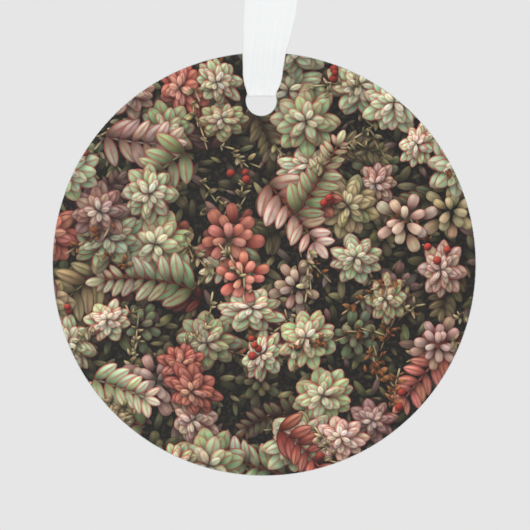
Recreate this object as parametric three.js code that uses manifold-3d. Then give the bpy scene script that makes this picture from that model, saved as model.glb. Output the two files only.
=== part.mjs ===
// A round hanging ornament: a clear acrylic disc, printed on both faces right to its edge, on a loop of
// satin ribbon that passes through a hole near the top and is knotted over the hanging point.
// Millimetres, +Z up. The disc stands in the XZ plane with its front towards -Y. The origin is the top of
// the inside of the ribbon's loop, where a hook or a twig carries the ornament.
import * as THREE from "three";
import { LoftGeometry } from "three/addons/geometries/LoftGeometry.js";
import { mergeVertices } from "three/addons/utils/BufferGeometryUtils.js";
import Module from "manifold-3d";

// Disc
const DISC_DIAMETER = 76; // 3 in
const DISC_THICKNESS = 3; // 1/8 in sheet
const EDGE_BREAK = 0.12; // chamfer left by polishing the cut edge
const DISC_SIDES = 128;

// Printed films, one on each face
const FILM_THICKNESS = 0.06;

// Ribbon hole
const HOLE_DIAMETER = 5.4;
const HOLE_SIDES = 64;
const HOLE_FROM_CENTRE = 29.35;
const HANG_TILT_DEG = 1; // the disc hangs this far off plumb, so its hole sits left of its centre line

// Ribbon
const LOOP_HEIGHT = 85; // from the hole's centre to the hanging point
const RIBBON_THICKNESS = 0.5;
const RIBBON_GAP = 0.1; // between the gathered ribbon and the wall of the hole
const FOLD_DROP = 0.6; // the gathered ribbon's underside is this far above the hole's centre
const STEPS_PER_ROW = 3; // cross-sections between two rows of a route
const POINTS_ACROSS = 7;
const THINNEST = 0.3; // of the gathered ribbon, at its two sides
const CROWN = 0.03; // how far each face of the ribbon stands out in the middle

// Knot
const KNOT_RADIUS = 2.35;
const KNOT_STRAND_RADIUS = 1.0;
const KNOT_HEIGHT = 4.7; // of its middle, above the hanging point
const KNOT_TURNS = 2;
const KNOT_LOBES = 3;
const KNOT_STEPS = 64;
const KNOT_SIDES = 8;

const SAME_PLACE = 1e-4; // corners closer than this are one

const holeRadius = HOLE_DIAMETER / 2;
const tilt = THREE.MathUtils.degToRad(HANG_TILT_DEG);
const holeX = -HOLE_FROM_CENTRE * Math.sin(tilt);
const holeZ = -LOOP_HEIGHT;
const discZ = holeZ - HOLE_FROM_CENTRE * Math.cos(tilt);
const faceY = DISC_THICKNESS / 2 + FILM_THICKNESS;

// The gathered ribbon fills the hole's upper part: flat below, and round above where it bears on the wall.
const gatherRadius = holeRadius - RIBBON_GAP;
const gatherHalf = Math.sqrt(gatherRadius ** 2 - FOLD_DROP ** 2);
const gatherLeft = holeX - gatherHalf;
const gatherRight = holeX + gatherHalf;

// One strand of the loop from the middle of the hole up to the knot. Each row gives the height above the
// hole's centre and the distance out from the disc's middle plane, both of the ribbon's outer surface,
// then its left and right edges, and how far it is gathered: 1 in the hole and 0 where it lies flat.
const STRAND_ROWS = [
  [FOLD_DROP, 0, gatherLeft, gatherRight, 1],
  [FOLD_DROP, 2.2, gatherLeft, gatherRight, 1],
  [0.7, 2.66, -2.99, 2.02, 0.95],
  [1.0, 2.94, -2.99, 2.06, 0.9],
  [1.7, 3.12, -3.14, 2.24, 0.8],
  [2.7, 3.14, -3.45, 2.64, 0.7],
  [4.0, 3.0, -3.69, 3.04, 0.5],
  [6.5, 2.7, -3.77, 3.42, 0.22],
  [9.0, 2.42, -3.8, 3.84, 0.06],
  [12.5, 2.44, -3.8, 4.86, 0],
  [18, 2.75, -3.58, 5.9, 0],
  [24, 3.2, -3.46, 6.44, 0],
  [38, 3.95, -3.8, 6.2, 0],
  [58, 4.1, -4.6, 5.4, 0],
  [72, 3.4, -5, 5, 0],
  [78.5, 2.95, -4.55, 4.55, 0],
  [82.3, 2.35, -3.9, 3.9, 0.05],
  [84.3, 1.6, -3.35, 3.35, 0.1],
  [85.6, 1.0, -2.9, 2.9, 0.1],
  [89.0, 0.85, -2.3, 2.3, 0.1],
];

// The two loose ends above the knot. Each row gives the place of the middle of the ribbon, half its
// width, how far it is turned about the vertical in degrees, and how far it is gathered.
const TAIL_ROWS = [
  [0.4, -0.6, 4.5, 1.8, 0, 0.4],
  [1.0, -1.2, 8.2, 2.1, 6, 0.3],
  [2.3, -2.2, 12.0, 3.4, 14, 0.1],
  [4.4, -3.6, 16.5, 4.7, 20, 0],
  [7.2, -5.4, 22.0, 5.0, 24, 0],
  [10.4, -7.8, 27.0, 5.0, 26, 0],
];
const TAIL_CUT_SLOPE = 0.6; // rise of the slanted cut for each millimetre across

const wasm = await Module();
wasm.setup();

// A closed geometry as a solid that can be joined to others: only its places, with shared corners merged.
function solidOf(geometry) {
  const bare = new THREE.BufferGeometry();
  bare.setAttribute("position", geometry.getAttribute("position"));
  bare.setIndex(geometry.getIndex());
  const merged = mergeVertices(bare, SAME_PLACE);
  return new wasm.Manifold(
    new wasm.Mesh({
      numProp: 3,
      vertProperties: merged.attributes.position.array,
      triVerts: new Uint32Array(merged.index.array),
    }),
  );
}

// A joined solid as a geometry for a mesh.
function geometryOf(solid) {
  const { vertProperties, triVerts } = solid.getMesh();
  const geometry = new THREE.BufferGeometry();
  geometry.setAttribute("position", new THREE.BufferAttribute(vertProperties, 3));
  geometry.setIndex(new THREE.BufferAttribute(triVerts, 1));
  geometry.computeVertexNormals();
  return geometry;
}

// A polygon of points on a circle, with its corners on the circle.
function circlePoints(radius, sides, x, z) {
  return Array.from({ length: sides }, (_, i) => {
    const angle = (i / sides) * Math.PI * 2;
    return new THREE.Vector2(x + radius * Math.cos(angle), z + radius * Math.sin(angle));
  });
}

// The disc's outline with its hole, drawn in from every edge by the given amount, about the disc's centre.
function discShape(inset) {
  const radius = DISC_DIAMETER / 2 - inset;
  const shape = new THREE.Shape(circlePoints(radius, DISC_SIDES, 0, 0));
  const hole = circlePoints(holeRadius + inset, HOLE_SIDES, holeX, holeZ - discZ);
  shape.holes.push(new THREE.Path(hole.reverse()));
  return shape;
}

// A plate of that outline standing in the XZ plane, between two distances behind the middle plane.
function standingPlate(shape, yNear, yFar, edgeBreak) {
  const geometry = new THREE.ExtrudeGeometry(shape, {
    depth: yFar - yNear - 2 * edgeBreak,
    bevelEnabled: edgeBreak > 0,
    bevelThickness: edgeBreak,
    bevelSize: edgeBreak,
    bevelOffset: 0,
    bevelSegments: 1,
  });
  geometry.translate(0, 0, edgeBreak);
  geometry.rotateX(Math.PI / 2);
  geometry.translate(0, yFar, discZ);
  return geometry;
}

function lerp(a, b, t) {
  return a + (b - a) * t;
}

// How thick the ribbon is at the place u across it, from -1 to 1: even where it lies flat, and the
// round-topped shape of the hole's upper part where it is gathered.
function thicknessAt(u, gather) {
  const bearing = Math.sqrt(Math.max(gatherRadius ** 2 - (u * gatherHalf) ** 2, 0)) - FOLD_DROP;
  return lerp(RIBBON_THICKNESS, Math.max(bearing, THINNEST), gather);
}

// One closed cross-section of the ribbon, anticlockwise about its tangent. The outer side runs through
// the given point, and the inner side lies along lateral x tangent from it.
function ribbonSection(point, tangent, half, yaw, gather, endSlope) {
  const lateral = new THREE.Vector3(Math.cos(yaw), Math.sin(yaw), 0);
  lateral.addScaledVector(tangent, -lateral.dot(tangent)).normalize();
  const inward = new THREE.Vector3().crossVectors(lateral, tangent);
  const across = Array.from({ length: POINTS_ACROSS }, (_, i) => (2 * i) / (POINTS_ACROSS - 1) - 1);
  const place = (u, depth) =>
    point
      .clone()
      .addScaledVector(lateral, u * half)
      .addScaledVector(tangent, u * half * endSlope)
      .addScaledVector(inward, depth);
  const crown = (u) => CROWN * (1 - u * u);
  const inner = across.map((u) => place(u, thicknessAt(u, gather) + crown(u)));
  const outer = across.map((u) => place(u, -crown(u))).reverse();
  return [...inner, ...outer];
}

// A length of ribbon through rows of { point, half, yaw, gather }, with smooth curves between them. The
// last section may be cut on a slope.
function ribbonStrip(rows, endSlope = 0) {
  const route = new THREE.CatmullRomCurve3(rows.map((row) => row.point), false, "centripetal");
  const form = new THREE.CatmullRomCurve3(
    rows.map((row) => new THREE.Vector3(row.half, row.yaw, row.gather)),
    false,
    "centripetal",
  );
  const steps = (rows.length - 1) * STEPS_PER_ROW;
  const sections = [];
  for (let i = 0; i <= steps; i++) {
    const t = i / steps;
    const { x: half, y: yaw, z: gather } = form.getPoint(t);
    const slope = endSlope * Math.max(0, 1 - (steps - i) / STEPS_PER_ROW);
    const section = ribbonSection(route.getPoint(t), route.getTangent(t), half, yaw, gather, slope);
    sections.push(section);
  }
  return new LoftGeometry(sections, { capStart: true, capEnd: true });
}

// The loop runs down the front strand, through the hole and up the back one.
function loopRows() {
  const strand = (side) =>
    STRAND_ROWS.map(([up, out, left, right, gather]) => ({
      point: new THREE.Vector3((left + right) / 2, side * out, holeZ + up),
      half: (right - left) / 2,
      yaw: 0,
      gather,
    }));
  return [...strand(-1).reverse(), ...strand(1).slice(1)];
}

// A loose end: side is -1 for the one that leans to the front and right, and 1 for the other.
function tailRows(side) {
  return TAIL_ROWS.map(([x, y, z, half, yawDeg, gather]) => ({
    point: new THREE.Vector3(-side * x, -side * y, z),
    half,
    yaw: THREE.MathUtils.degToRad(yawDeg),
    gather,
  }));
}

function knotGeometry() {
  const geometry = new THREE.TorusKnotGeometry(
    KNOT_RADIUS,
    KNOT_STRAND_RADIUS,
    KNOT_STEPS,
    KNOT_SIDES,
    KNOT_TURNS,
    KNOT_LOBES,
  );
  geometry.rotateX(Math.PI / 2);
  geometry.translate(0, 0, KNOT_HEIGHT);
  return geometry;
}

function ribbonSolid() {
  const tails = [-1, 1].map((side) => solidOf(ribbonStrip(tailRows(side), TAIL_CUT_SLOPE)));
  return tails.reduce(
    (solid, tail) => solid.add(tail),
    solidOf(ribbonStrip(loopRows())).add(solidOf(knotGeometry())),
  );
}

function named(name, geometry, material) {
  const mesh = new THREE.Mesh(geometry, material);
  mesh.name = name;
  return mesh;
}

const acrylic = new THREE.MeshStandardMaterial({ color: 0xe9f1f0, roughness: 0.05, metalness: 0 });
const frontInk = new THREE.MeshStandardMaterial({ color: 0x7b6d5b, roughness: 0.4, metalness: 0 });
const backInk = new THREE.MeshStandardMaterial({ color: 0x7b6d5b, roughness: 0.4, metalness: 0 });
const satin = new THREE.MeshStandardMaterial({ color: 0xf3f4f3, roughness: 0.45, metalness: 0 });

const halfSheet = DISC_THICKNESS / 2;
const ornament = new THREE.Group();
ornament.add(
  named(
    "acrylic_disc",
    standingPlate(discShape(EDGE_BREAK), -halfSheet, halfSheet, EDGE_BREAK),
    acrylic,
  ),
  named("front_print", standingPlate(discShape(EDGE_BREAK), -faceY, -halfSheet, 0), frontInk),
  named("back_print", standingPlate(discShape(EDGE_BREAK), halfSheet, faceY, 0), backInk),
  named("ribbon", geometryOf(ribbonSolid()), satin),
);

export default ornament;
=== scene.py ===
"""A round hanging ornament: a clear acrylic disc printed edge to edge on both faces, on a white satin
ribbon that is folded through the hole and tied in a knot above.

Sizes are in millimetres in the classes and are turned to metres where a mesh is made. The frame is the
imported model's: +Z up, front towards -Y, origin at the top of the inside of the ribbon loop.
"""

import logging
import math
from dataclasses import dataclass, field, replace
from enum import Enum
from typing import Any, Iterator, Sequence

import bpy
import numpy as np
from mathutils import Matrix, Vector, geometry
from numpy.typing import NDArray


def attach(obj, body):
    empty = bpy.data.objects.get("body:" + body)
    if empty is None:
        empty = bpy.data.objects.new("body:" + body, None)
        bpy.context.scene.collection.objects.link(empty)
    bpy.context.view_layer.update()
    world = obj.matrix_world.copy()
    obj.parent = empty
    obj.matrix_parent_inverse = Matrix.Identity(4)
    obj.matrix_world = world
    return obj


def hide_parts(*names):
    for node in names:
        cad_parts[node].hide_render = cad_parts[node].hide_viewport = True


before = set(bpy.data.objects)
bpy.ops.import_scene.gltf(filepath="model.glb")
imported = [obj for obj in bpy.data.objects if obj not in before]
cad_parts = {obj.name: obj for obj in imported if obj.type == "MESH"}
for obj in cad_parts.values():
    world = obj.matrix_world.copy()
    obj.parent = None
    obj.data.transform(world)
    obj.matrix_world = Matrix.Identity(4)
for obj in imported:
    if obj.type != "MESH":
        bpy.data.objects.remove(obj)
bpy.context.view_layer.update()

Floats = NDArray[np.float64]
Ints = NDArray[np.int64]

MM = 0.001  # metres in a millimetre
TURN = 2 * np.pi  # a full turn in radians
EASED = {"interpolation_type": "SMOOTHSTEP"}  # its sockets: value, from, to, result at from, result at to
COLOURS = {"data_type": "RGBA"}  # its sockets: 0 the share of the second colour, 6 the first, 7 the second
BODY = "root"
BAKE_MAP = "OFBake"
LOG = logging.getLogger("ornament")


class Face(Enum):
    """The two printed faces: which way each one looks along Y."""

    FRONT = -1
    BACK = 1


def linear(code: str) -> Floats:
    """Turns an sRGB hex colour into linear light.

    Args:
        code: six hex digits, with or without a leading #.

    Returns:
        Red, green and blue from 0 to 1.
    """
    digits = code.lstrip("#")
    value = np.array([int(digits[i : i + 2], 16) for i in (0, 2, 4)], float) / 255
    return np.where(value <= 0.04045, value / 12.92, ((value + 0.055) / 1.055) ** 2.4)


def rgba(code: str) -> tuple[float, float, float, float]:
    """The linear colour of a hex code, with full alpha, as a shader socket takes it."""
    red, green, blue = linear(code)
    return (float(red), float(green), float(blue), 1.0)


def towards(angle: Floats) -> Floats:
    """Steps of length 1 in the directions of the angles: cosine and sine, one row each."""
    return np.stack([np.cos(angle), np.sin(angle)], 1)


def smooth(edge0: float | Floats, edge1: float | Floats, x: Floats) -> Floats:
    """The cubic ease 3k^2 - 2k^3, where k runs from 0 at edge0 to 1 at edge1."""
    k = np.clip((x - edge0) / (edge1 - edge0), 0, 1)
    return k * k * (3 - 2 * k)


def add_node(tree: bpy.types.NodeTree, kind: str, settings: dict[Any, Any] | None = None) -> bpy.types.Node:
    """Adds one node with its settings and links.

    Args:
        tree: the node tree.
        kind: the node's type, without the ShaderNode that all of them begin with.
        settings: property names with their values, and socket names or numbers with a value, an output
            socket to link from, or a node to link from its first live output.

    Returns:
        The new node.
    """
    node = tree.nodes.new(f"ShaderNode{kind}")
    for key, value in (settings or {}).items():
        if isinstance(value, bpy.types.Node):
            value = next(output for output in value.outputs if output.enabled)
        if isinstance(key, str) and key not in node.inputs:
            setattr(node, key, value)
        elif isinstance(value, bpy.types.NodeSocket):
            tree.links.new(value, node.inputs[key])
        else:
            node.inputs[key].default_value = value
    return node


def new_material(name: str) -> tuple[bpy.types.Material, bpy.types.NodeTree]:
    """Makes an empty node material.

    Args:
        name: the material's name.

    Returns:
        The material and its node tree, with no nodes in it.
    """
    material = bpy.data.materials.new(name)
    material.use_nodes = True
    material.node_tree.nodes.clear()
    return material, material.node_tree


def outward(points: Floats, faces: Sequence[Ints]) -> list[Ints]:
    """Turns all faces of a closed mesh round if they point inwards.

    The test is the sign of the enclosed volume: the sum over the fan triangles of each face of
    a . (b x c) / 6.

    Args:
        points: vertex places, one row each.
        faces: arrays of vertex numbers, one row per face.

    Returns:
        The same arrays, each row reversed where the volume came out negative.
    """
    volume = 0.0
    for group in faces:
        for i in range(1, group.shape[1] - 1):
            a, b, c = points[group[:, 0]], points[group[:, i]], points[group[:, i + 1]]
            volume += float(np.einsum("ij,ij->", a, np.cross(b, c))) / 6
    return [group[:, ::-1].copy() if volume < 0 else group for group in faces]


def make_piece(name: str, points: Floats, faces: Sequence[Ints], rounded: bool = True) -> bpy.types.Object:
    """Makes a mesh object at the origin from arrays.

    Args:
        name: the object's name.
        points: vertex places in millimetres, one row each.
        faces: arrays of vertex numbers, one row per face; an array may be of triangles or of quads.
        rounded: whether the faces are shaded smooth.

    Returns:
        The linked object, with its place in its mesh.
    """
    corners = np.concatenate([group.reshape(-1) for group in faces])
    sizes = np.concatenate([np.full(len(group), group.shape[1]) for group in faces])
    starts = np.concatenate([[0], np.cumsum(sizes)[:-1]])
    mesh = bpy.data.meshes.new(name)
    mesh.vertices.add(len(points))
    mesh.vertices.foreach_set("co", (points * MM).astype(np.float32).reshape(-1))
    mesh.loops.add(len(corners))
    mesh.loops.foreach_set("vertex_index", corners.astype(np.int32))
    mesh.polygons.add(len(sizes))
    mesh.polygons.foreach_set("loop_start", starts.astype(np.int32))
    mesh.polygons.foreach_set("use_smooth", np.full(len(sizes), rounded))
    mesh.update(calc_edges=True)
    mesh.validate()
    piece = bpy.data.objects.new(name, mesh)
    bpy.context.scene.collection.objects.link(piece)
    return piece


def set_uv(piece: bpy.types.Object, name: str, values: Floats) -> None:
    """Gives a piece a UV map from one row of two numbers per face corner."""
    layer = piece.data.uv_layers.new(name=name)
    layer.data.foreach_set("uv", values.astype(np.float32).reshape(-1))


def grid_faces(rows: int, columns: int, closed_rows: bool, closed_columns: bool) -> Ints:
    """Quads of a grid of points numbered row by row.

    Args:
        rows: points along the first parameter.
        columns: points along the second.
        closed_rows: whether the last row joins the first.
        closed_columns: whether the last column joins the first.

    Returns:
        Four vertex numbers per quad.
    """
    i = np.arange(rows if closed_rows else rows - 1)
    j = np.arange(columns if closed_columns else columns - 1)
    a, b = np.meshgrid(i, j, indexing="ij")
    a1, b1 = (a + 1) % rows, (b + 1) % columns
    corners = [a * columns + b, a1 * columns + b, a1 * columns + b1, a * columns + b1]
    return np.stack(corners, -1).reshape(-1, 4)


def curve_through(rows: Floats, steps: int) -> Floats:
    """A centripetal Catmull-Rom curve through the first three columns, which carries the other columns.

    Between two rows the value is the cubic with the rows' values and the slopes of the centripetal
    parabola through each row and its neighbours. The knots are the square roots of the distances.

    Args:
        rows: one row per knot: x, y, z and any further values.
        steps: pieces between two rows.

    Returns:
        The points of the curve with their further values.
    """
    padded = np.concatenate([[2 * rows[0] - rows[1]], rows, [2 * rows[-1] - rows[-2]]])
    gap = np.sqrt(np.linalg.norm(np.diff(padded[:, :3], axis=0), axis=1))[:, None]
    before, here, after = gap[:-2], gap[1:-1], gap[2:]
    p0, p1, p2, p3 = padded[:-3], padded[1:-2], padded[2:-1], padded[3:]
    slope1 = ((p1 - p0) / before - (p2 - p0) / (before + here) + (p2 - p1) / here) * here
    slope2 = ((p2 - p1) / here - (p3 - p1) / (here + after) + (p3 - p2) / after) * here
    t = (np.arange(steps) / steps)[None, :, None]
    a, b, m, n = p1[:, None], p2[:, None], slope1[:, None], slope2[:, None]
    between = a + m * t + (3 * (b - a) - 2 * m - n) * t**2 + (2 * (a - b) + m + n) * t**3
    return np.concatenate([between.reshape(-1, rows.shape[1]), rows[-1:]])


def running(values: Floats, step: float) -> Floats:
    """The running integral of rows of samples by the trapezium rule, starting at 0."""
    middle = (values[..., 1:] + values[..., :-1]) / 2 * step
    return np.concatenate([np.zeros(values.shape[:-1] + (1,)), np.cumsum(middle, -1)], -1)


@dataclass(frozen=True)
class Layout:
    """Sizes in millimetres that the disc, the prints and the ribbon share."""

    disc_radius: float = 38.0
    disc_half: float = 1.5
    edge_break: float = 0.12
    film_face: float = 1.56
    hole_radius: float = 2.7
    hole_from_centre: float = 29.35
    hang_tilt_deg: float = 1.0
    loop_height: float = 85.0

    @property
    def hole_x(self) -> float:
        """Sideways place of the hole."""
        return -self.hole_from_centre * math.sin(math.radians(self.hang_tilt_deg))

    @property
    def hole_z(self) -> float:
        """Height of the hole's centre."""
        return -self.loop_height

    @property
    def disc_z(self) -> float:
        """Height of the disc's centre."""
        return -self.loop_height - self.hole_from_centre * math.cos(math.radians(self.hang_tilt_deg))


@dataclass(frozen=True)
class PolishedCastAcrylic:
    """Clear cast acrylic sheet with a laser-cut edge: glossy and faintly cool, with fine upright melt lines.

    The sheet lies between two white ink layers that light its edge from inside, so that the edge looks
    pale and milky more than see-through.
    """

    tint: str = "#eaf1f0"
    clearness: float = 0.35
    ior: float = 1.49
    roughness: float = 0.04
    dulled: float = 2.5  # how many times rougher the dusty patches are
    line_spacing: float = 0.35  # mm; real melt lines are about 0.1 mm apart, drawn coarser to show
    line_length: float = 8.333  # mm
    line_depth: float = 0.04  # mm

    def material(self) -> bpy.types.Material:
        """Builds the finish.

        Returns:
            The material, which reads the disc's own map: millimetres round the edge and across it.
        """
        material, tree = new_material("polished_cast_acrylic")
        place = add_node(tree, "UVMap", {"uv_map": "edge_mm"})
        pitch = (1 / self.line_spacing, 1 / self.line_length, 1)
        lines = add_node(tree, "Mapping", {"Vector": place, "Scale": pitch})
        melt = add_node(tree, "TexNoise", {"Vector": lines, "Scale": 1.0, "Detail": 3.0, "Roughness": 0.6})
        dust = add_node(tree, "TexNoise", {"Vector": place, "Scale": 0.9, "Detail": 4.0})
        dull = {0: dust, 1: 0.35, 2: 0.7, 3: self.roughness, 4: self.roughness * self.dulled}
        relief = {"Height": melt, "Strength": 0.35, "Distance": self.line_depth * MM}
        shader = {
            "Base Color": rgba(self.tint),
            "Roughness": add_node(tree, "MapRange", dull),
            "IOR": self.ior,
            "Transmission Weight": self.clearness,
            "Normal": add_node(tree, "Bump", relief),
        }
        add_node(tree, "OutputMaterial", {"Surface": add_node(tree, "BsdfPrincipled", shader)})
        return material


@dataclass(frozen=True)
class WhiteInkBase:
    """The white ink layer under the print, seen through the clear edge: matt and slightly uneven."""

    light: str = "#f1f2f0"
    dark: str = "#e2e4e2"
    mottle: float = 1.6  # mm
    roughness: float = 0.6
    ior: float = 1.5

    def material(self) -> bpy.types.Material:
        """Builds the finish.

        Returns:
            The material.
        """
        material, tree = new_material("white_ink_base")
        place = add_node(tree, "TexCoord").outputs["Object"]
        mottle = add_node(tree, "TexNoise", {"Vector": place, "Scale": 1 / (self.mottle * MM), "Detail": 3.0})
        tone = add_node(tree, "Mix", COLOURS | {0: mottle, 6: rgba(self.light), 7: rgba(self.dark)})
        shader = {"Base Color": tone, "Roughness": self.roughness, "IOR": self.ior}
        add_node(tree, "OutputMaterial", {"Surface": add_node(tree, "BsdfPrincipled", shader)})
        return material


@dataclass(frozen=True)
class PrintedInk:
    """UV-cured ink printed on the acrylic: smooth, even, softly glossy, with a fine ink grain.

    The drawing is carried by the mesh: every face corner knows its place on its leaf, and the nodes
    shade the leaf from that.
    """

    roughness: float = 0.42
    ior: float = 1.38
    grain: float = 0.22  # mm; the real dots are about 0.06 mm, drawn coarser to show
    mottle: float = 1.3  # mm
    litter_size: float = 0.8  # mm
    litter: str = "#3a3529"
    gleam: tuple[float, float, float, float] = (1.0, 0.97, 0.90, 1.0)
    gleam_place: float = 0.42  # of the way from the leaf's middle to its lit edge
    gleam_strength: float = 0.42
    root_dark: float = 0.42  # how light the leaf is at its base
    margin_strength: float = 0.9
    tip_strength: float = 0.6

    def material(self) -> bpy.types.Material:
        """Builds the finish.

        Leaf shading: half width f = t^p (1 - t)^q / norm; place across e = s / f; distance from the edge
        d = (f - |s|) half. The body runs from its base colour to its tip colour, is lit across and
        along the leaf, carries a pale band on its lit side, and has a margin line and a keel line of
        another colour.

        Returns:
            The material.
        """
        material, tree = new_material("uv_cured_print_ink")
        carried = {
            name: add_node(tree, "Attribute", {"attribute_name": f"leaf_{name}"})
            for name in ("place", "form", "light", "body", "tip", "margin", "shade")
        }
        (t, s, half), (p, q, norm), (light_along, light_across, margin_width) = (
            add_node(tree, "SeparateXYZ", {0: carried[name].outputs["Vector"]}).outputs
            for name in ("place", "form", "light")
        )

        # The leaf's half width at t, the place across it, and the depth inside its edge.
        inside = add_node(tree, "Math", {"operation": "MAXIMUM", 0: t, 1: 0.001})
        inside = add_node(tree, "Math", {"operation": "MINIMUM", 0: inside, 1: 0.999})
        rise = add_node(tree, "Math", {"operation": "POWER", 0: inside, 1: p})
        fall = add_node(tree, "Math", {"operation": "SUBTRACT", 0: 1.0, 1: inside})
        fall = add_node(tree, "Math", {"operation": "POWER", 0: fall, 1: q})
        width = add_node(tree, "Math", {"operation": "MULTIPLY", 0: rise, 1: fall})
        width = add_node(tree, "Math", {"operation": "MULTIPLY", 0: width, 1: norm})
        across = add_node(tree, "Math", {"operation": "MAXIMUM", 0: width, 1: 0.02})
        across = add_node(tree, "Math", {"operation": "DIVIDE", 0: s, 1: across})
        depth = add_node(tree, "Math", {"operation": "ABSOLUTE", 0: s})
        depth = add_node(tree, "Math", {"operation": "SUBTRACT", 0: width, 1: depth})
        depth = add_node(tree, "Math", {"operation": "MULTIPLY", 0: depth, 1: half})

        # Ink mottle and ink grain, in real sizes.
        place = add_node(tree, "TexCoord").outputs["Object"]
        mottle, litter, grain = (
            add_node(tree, "TexNoise", {"Vector": place, "Scale": 1 / (size * MM)} | detail)
            for size, detail in (
                (self.mottle, {"Detail": 5.0, "Roughness": 0.6}),
                (self.litter_size, {"Detail": 4.0, "Roughness": 0.7}),
                (self.grain, {"Detail": 2.0}),
            )
        )

        # The body from base to tip, with a pale band towards its lit side.
        along = add_node(tree, "MapRange", EASED | {0: t, 1: 0.1, 2: 0.95, 3: 0.0, 4: 1.0})
        body = add_node(tree, "Mix", COLOURS | {0: along, 6: carried["body"], 7: carried["tip"]})
        band = add_node(tree, "Math", {"operation": "MULTIPLY", 0: light_across, 1: self.gleam_place})
        band = add_node(tree, "Math", {"operation": "SUBTRACT", 0: across, 1: band})
        band = add_node(tree, "Math", {"operation": "ABSOLUTE", 0: band})
        band = add_node(tree, "MapRange", EASED | {0: band, 1: 0.05, 2: 0.42, 3: 1.0, 4: 0.0})
        along = add_node(tree, "MapRange", EASED | {0: t, 1: 0.15, 2: 0.6, 3: 0.0, 4: self.gleam_strength})
        band = add_node(tree, "Math", {"operation": "MULTIPLY", 0: band, 1: along})
        gleam = {"blend_type": "SOFT_LIGHT", 0: band, 6: body, 7: self.gleam}
        body = add_node(tree, "Mix", COLOURS | gleam)

        # Light across and along the leaf, darker at its base and uneven with the mottle.
        lit = add_node(tree, "Math", {"operation": "MULTIPLY", 0: light_across, 1: across})
        lit = add_node(tree, "Math", {"operation": "MULTIPLY_ADD", 0: lit, 1: 0.34, 2: 0.82})
        slope = add_node(tree, "Math", {"operation": "MULTIPLY_ADD", 0: t, 1: 0.6, 2: -0.3})
        slope = add_node(tree, "Math", {"operation": "MULTIPLY", 0: light_along, 1: slope})
        lit = add_node(tree, "Math", {"operation": "ADD", 0: lit, 1: slope})
        root = add_node(tree, "MapRange", EASED | {0: t, 1: 0.0, 2: 0.45, 3: self.root_dark, 4: 1.0})
        lit = add_node(tree, "Math", {"operation": "MULTIPLY", 0: lit, 1: root})
        uneven = add_node(tree, "Math", {"operation": "MULTIPLY_ADD", 0: mottle, 1: 0.7, 2: 0.65})
        lit = add_node(tree, "Math", {"operation": "MULTIPLY", 0: lit, 1: uneven})

        # The margin line, of uneven width, with a coloured tip and the keel line down the middle.
        edge = add_node(tree, "Math", {"operation": "MULTIPLY_ADD", 0: mottle, 1: 1.4, 2: 0.3})
        edge = add_node(tree, "Math", {"operation": "MULTIPLY", 0: margin_width, 1: edge})
        edge = add_node(tree, "Math", {"operation": "MAXIMUM", 0: edge, 1: 0.001})
        edge = add_node(tree, "Math", {"operation": "DIVIDE", 0: depth, 1: edge})
        line = {0: edge, 1: 0.6, 2: 1.4, 3: self.margin_strength, 4: 0.0}
        margin = add_node(tree, "MapRange", EASED | line)
        point = add_node(tree, "MapRange", EASED | {0: t, 1: 0.78, 2: 1.0, 3: 0.0, 4: self.tip_strength})
        margin = add_node(tree, "Math", {"operation": "MAXIMUM", 0: margin, 1: point})
        keel = add_node(tree, "Math", {"operation": "ABSOLUTE", 0: across})
        keel = add_node(tree, "MapRange", EASED | {0: keel, 1: 0.04, 2: 0.3, 3: 1.0, 4: 0.0})
        along = add_node(tree, "MapRange", EASED | {0: t, 1: 0.1, 2: 0.5, 3: 0.0, 4: 1.0})
        keel = add_node(tree, "Math", {"operation": "MULTIPLY", 0: keel, 1: along})
        keel = add_node(tree, "Math", {"operation": "MULTIPLY", 0: keel, 1: carried["body"].outputs["Alpha"]})
        margin = add_node(tree, "Math", {"operation": "MAXIMUM", 0: margin, 1: keel})
        painted = add_node(tree, "Mix", COLOURS | {0: margin, 6: body, 7: carried["margin"]})

        # Specks of litter on the ground, which is where no leaf has a half width.
        litter = add_node(tree, "MapRange", EASED | {0: litter, 1: 0.46, 2: 0.66, 3: 0.0, 4: 1.0})
        ground = add_node(tree, "MapRange", EASED | {0: half, 1: 0.0, 2: 0.01, 3: 1.0, 4: 0.0})
        litter = add_node(tree, "Math", {"operation": "MULTIPLY", 0: litter, 1: ground})
        painted = add_node(tree, "Mix", COLOURS | {0: litter, 6: painted, 7: rgba(self.litter)})

        # Light, the shade of the leaves above, and grain.
        dark = add_node(tree, "Math", {"operation": "MULTIPLY", 0: lit, 1: carried["shade"].outputs["Fac"]})
        speckle = add_node(tree, "Math", {"operation": "MULTIPLY_ADD", 0: grain, 1: 0.24, 2: 0.88})
        dark = add_node(tree, "Math", {"operation": "MULTIPLY", 0: dark, 1: speckle})
        gloss = {"operation": "MULTIPLY_ADD", 0: grain, 1: 0.08, 2: self.roughness - 0.04}
        shader = {
            "Base Color": add_node(tree, "VectorMath", {"operation": "SCALE", 0: painted, "Scale": dark}),
            "Roughness": add_node(tree, "Math", gloss),
            "IOR": self.ior,
            "Normal": add_node(tree, "Bump", {"Height": grain, "Strength": 0.15, "Distance": 0.01 * MM}),
        }
        add_node(tree, "OutputMaterial", {"Surface": add_node(tree, "BsdfPrincipled", shader)})
        return material


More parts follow.
